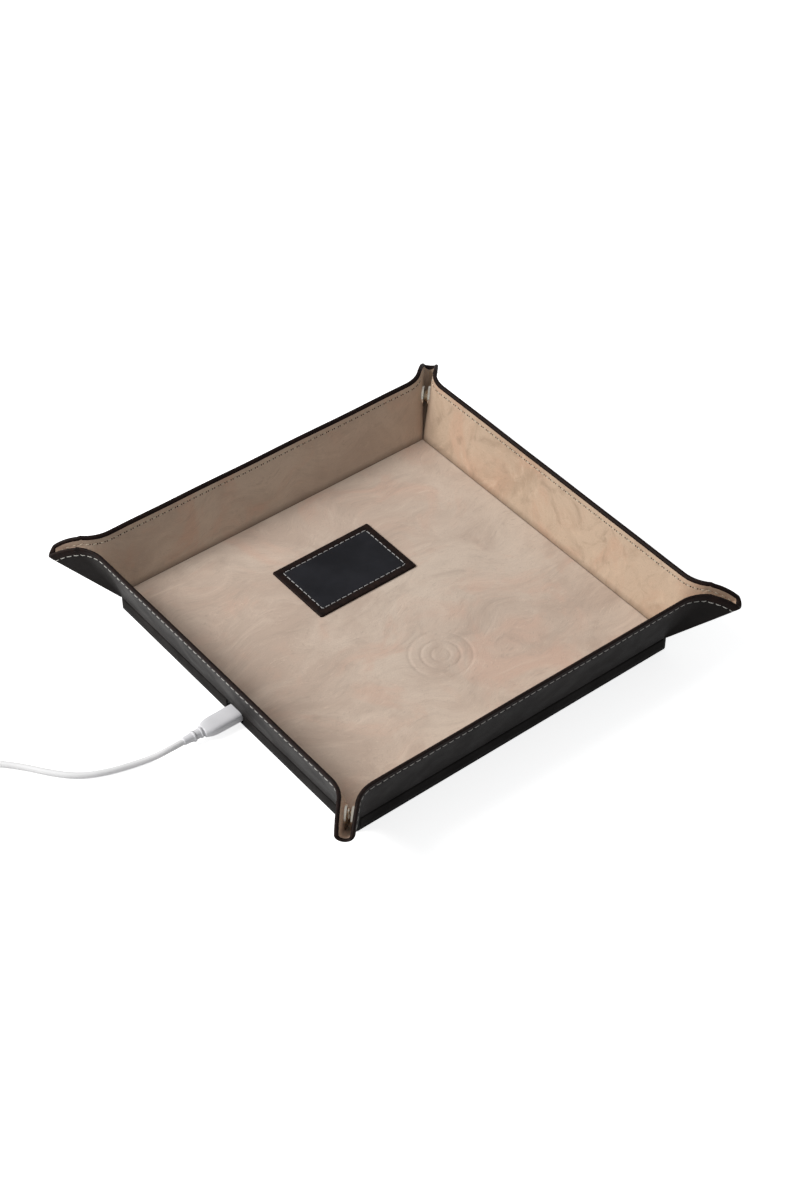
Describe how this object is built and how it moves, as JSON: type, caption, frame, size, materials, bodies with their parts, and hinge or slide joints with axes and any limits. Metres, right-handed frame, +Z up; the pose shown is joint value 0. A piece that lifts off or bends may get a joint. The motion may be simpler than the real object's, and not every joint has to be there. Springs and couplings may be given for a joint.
{
  "type": "valet tray with wireless charger",
  "caption": "Square leather valet tray with leaning walls pinched into press-stud ears, on a thin charging base with its plugged-in cord.",
  "frame": {"origin": "centre of the base's footprint, on the plane that its feet stand on", "axes": "+Z up; -X faces the side with the charging socket; +Y towards the wall beside the patch"},
  "size_m": [0.4059, 0.305, 0.0456],
  "materials": {
    "base_plastic": "fine satin texture",
    "foot_rubber": "matt",
    "screw_steel": "zinc plated",
    "coil_copper": "lacquered copper strand",
    "ferrite": "matt grey sheet",
    "circuit_board": "solder mask",
    "component_plastic": "moulded",
    "socket_metal": "plated",
    "outer_leather": "smooth black with a soft sheen, painted edges",
    "suede_lining": "suede nap with light and dark strokes",
    "stiffener_board": "pressed board",
    "patch_leather": "smooth black, stitched border",
    "stud_metal": "bright plated",
    "plug_metal": "plated",
    "plug_plastic": "white overmould",
    "cord_sheath": "white soft sheath",
    "tie_fabric": "woven strap",
    "contact_plastic": "moulded"
  },
  "bodies": {
    "root": {"base_housing": "base_plastic", "bottom_cover": "base_plastic", "rubber_feet": "foot_rubber", "cover_screws": "screw_steel", "charging_coil": "coil_copper", "ferrite_sheet": "ferrite", "charger_board": "circuit_board", "board_components": "component_plastic", "usb_c_socket": "socket_metal", "floor_leather": "outer_leather", "floor_lining": "suede_lining", "name_patch": "patch_leather"},
    "wall_right": {"wall_leather_right": "outer_leather", "wall_board_right": "stiffener_board", "wall_lining_right": "suede_lining"},
    "wall_port": {"wall_leather_port": "outer_leather", "wall_board_port": "stiffener_board", "wall_lining_port": "suede_lining"},
    "wall_back": {"wall_leather_back": "outer_leather", "wall_board_back": "stiffener_board", "wall_lining_back": "suede_lining"},
    "wall_front": {"wall_leather_front": "outer_leather", "wall_board_front": "stiffener_board", "wall_lining_front": "suede_lining"},
    "ear_back_right_x": {"ear_leather_back_right_x": "outer_leather", "ear_lining_back_right_x": "suede_lining", "press_socket_back_right": "stud_metal"},
    "ear_back_right_y": {"ear_leather_back_right_y": "outer_leather", "ear_lining_back_right_y": "suede_lining", "press_stud_back_right": "stud_metal"},
    "ear_back_port_x": {"ear_leather_back_port_x": "outer_leather", "ear_lining_back_port_x": "suede_lining", "press_socket_back_port": "stud_metal"},
    "ear_back_port_y": {"ear_leather_back_port_y": "outer_leather", "ear_lining_back_port_y": "suede_lining", "press_stud_back_port": "stud_metal"},
    "ear_front_port_x": {"ear_leather_front_port_x": "outer_leather", "ear_lining_front_port_x": "suede_lining", "press_socket_front_port": "stud_metal"},
    "ear_front_port_y": {"ear_leather_front_port_y": "outer_leather", "ear_lining_front_port_y": "suede_lining", "press_stud_front_port": "stud_metal"},
    "ear_front_right_x": {"ear_leather_front_right_x": "outer_leather", "ear_lining_front_right_x": "suede_lining", "press_socket_front_right": "stud_metal"},
    "ear_front_right_y": {"ear_leather_front_right_y": "outer_leather", "ear_lining_front_right_y": "suede_lining", "press_stud_front_right": "stud_metal"},
    "cord": {"usb_c_plug_shell": "plug_metal", "usb_c_plug_body": "plug_plastic", "cord_strain_relief": "cord_sheath", "free_cord": "cord_sheath", "cord_coil": "cord_sheath", "cord_tie": "tie_fabric", "usb_a_plug_body": "plug_plastic", "usb_a_plug_shell": "plug_metal", "usb_a_contact_block": "contact_plastic"}
  },
  "joints": [
    {"name": "wall_right_fold", "type": "hinge", "parent": "root", "child": "wall_right", "pos_m": [0.105, 0, 0.0099], "axis": [0, 1, 0], "range_deg": [0, 70]},
    {"name": "wall_port_fold", "type": "hinge", "parent": "root", "child": "wall_port", "pos_m": [-0.105, 0, 0.0099], "axis": [0, -1, 0], "range_deg": [0, 70]},
    {"name": "wall_back_fold", "type": "hinge", "parent": "root", "child": "wall_back", "pos_m": [0, 0.1035, 0.0099], "axis": [-1, 0, 0], "range_deg": [0, 70]},
    {"name": "wall_front_fold", "type": "hinge", "parent": "root", "child": "wall_front", "pos_m": [0, -0.1035, 0.0099], "axis": [1, 0, 0], "range_deg": [0, 70]},
    {"name": "ear_back_right_x_fold", "type": "hinge", "parent": "wall_right", "child": "ear_back_right_x", "pos_m": [0.10592, 0.103, 0.0099], "axis": [0.2943, 0.1331, 0.9464], "range_deg": [0, 37.5]},
    {"name": "ear_back_right_y_fold", "type": "hinge", "parent": "wall_back", "child": "ear_back_right_y", "pos_m": [0.10451, 0.10442, 0.0099], "axis": [-0.1331, -0.2943, -0.9464], "range_deg": [0, 37.5]},
    {"name": "ear_back_port_x_fold", "type": "hinge", "parent": "wall_port", "child": "ear_back_port_x", "pos_m": [-0.10592, 0.103, 0.0099], "axis": [0.2943, -0.1331, -0.9464], "range_deg": [0, 37.5]},
    {"name": "ear_back_port_y_fold", "type": "hinge", "parent": "wall_back", "child": "ear_back_port_y", "pos_m": [-0.10451, 0.10442, 0.0099], "axis": [-0.1331, 0.2943, 0.9464], "range_deg": [0, 37.5]},
    {"name": "ear_front_port_x_fold", "type": "hinge", "parent": "wall_port", "child": "ear_front_port_x", "pos_m": [-0.10592, -0.103, 0.0099], "axis": [-0.2943, -0.1331, 0.9464], "range_deg": [0, 37.5]},
    {"name": "ear_front_port_y_fold", "type": "hinge", "parent": "wall_front", "child": "ear_front_port_y", "pos_m": [-0.10451, -0.10442, 0.0099], "axis": [0.1331, 0.2943, -0.9464], "range_deg": [0, 37.5]},
    {"name": "ear_front_right_x_fold", "type": "hinge", "parent": "wall_right", "child": "ear_front_right_x", "pos_m": [0.10592, -0.103, 0.0099], "axis": [-0.2943, 0.1331, -0.9464], "range_deg": [0, 37.5]},
    {"name": "ear_front_right_y_fold", "type": "hinge", "parent": "wall_front", "child": "ear_front_right_y", "pos_m": [0.10451, -0.10442, 0.0099], "axis": [0.1331, -0.2943, 0.9464], "range_deg": [0, 37.5]},
    {"name": "plug_slide", "type": "slide", "parent": "root", "child": "cord", "axis": [-1, 0, 0], "range_m": [0, 0.012]}
  ],
  "couplings": [
    {"joint": "wall_port_fold", "follows": "wall_right_fold", "ratio": 1},
    {"joint": "wall_back_fold", "follows": "wall_right_fold", "ratio": 1},
    {"joint": "wall_front_fold", "follows": "wall_right_fold", "ratio": 1},
    {"joint": "ear_back_right_x_fold", "follows": "wall_right_fold", "ratio": 0.5357},
    {"joint": "ear_back_right_y_fold", "follows": "wall_right_fold", "ratio": 0.5357},
    {"joint": "ear_back_port_x_fold", "follows": "wall_right_fold", "ratio": 0.5357},
    {"joint": "ear_back_port_y_fold", "follows": "wall_right_fold", "ratio": 0.5357},
    {"joint": "ear_front_port_x_fold", "follows": "wall_right_fold", "ratio": 0.5357},
    {"joint": "ear_front_port_y_fold", "follows": "wall_right_fold", "ratio": 0.5357},
    {"joint": "ear_front_right_x_fold", "follows": "wall_right_fold", "ratio": 0.5357},
    {"joint": "ear_front_right_y_fold", "follows": "wall_right_fold", "ratio": 0.5357}
  ]
}
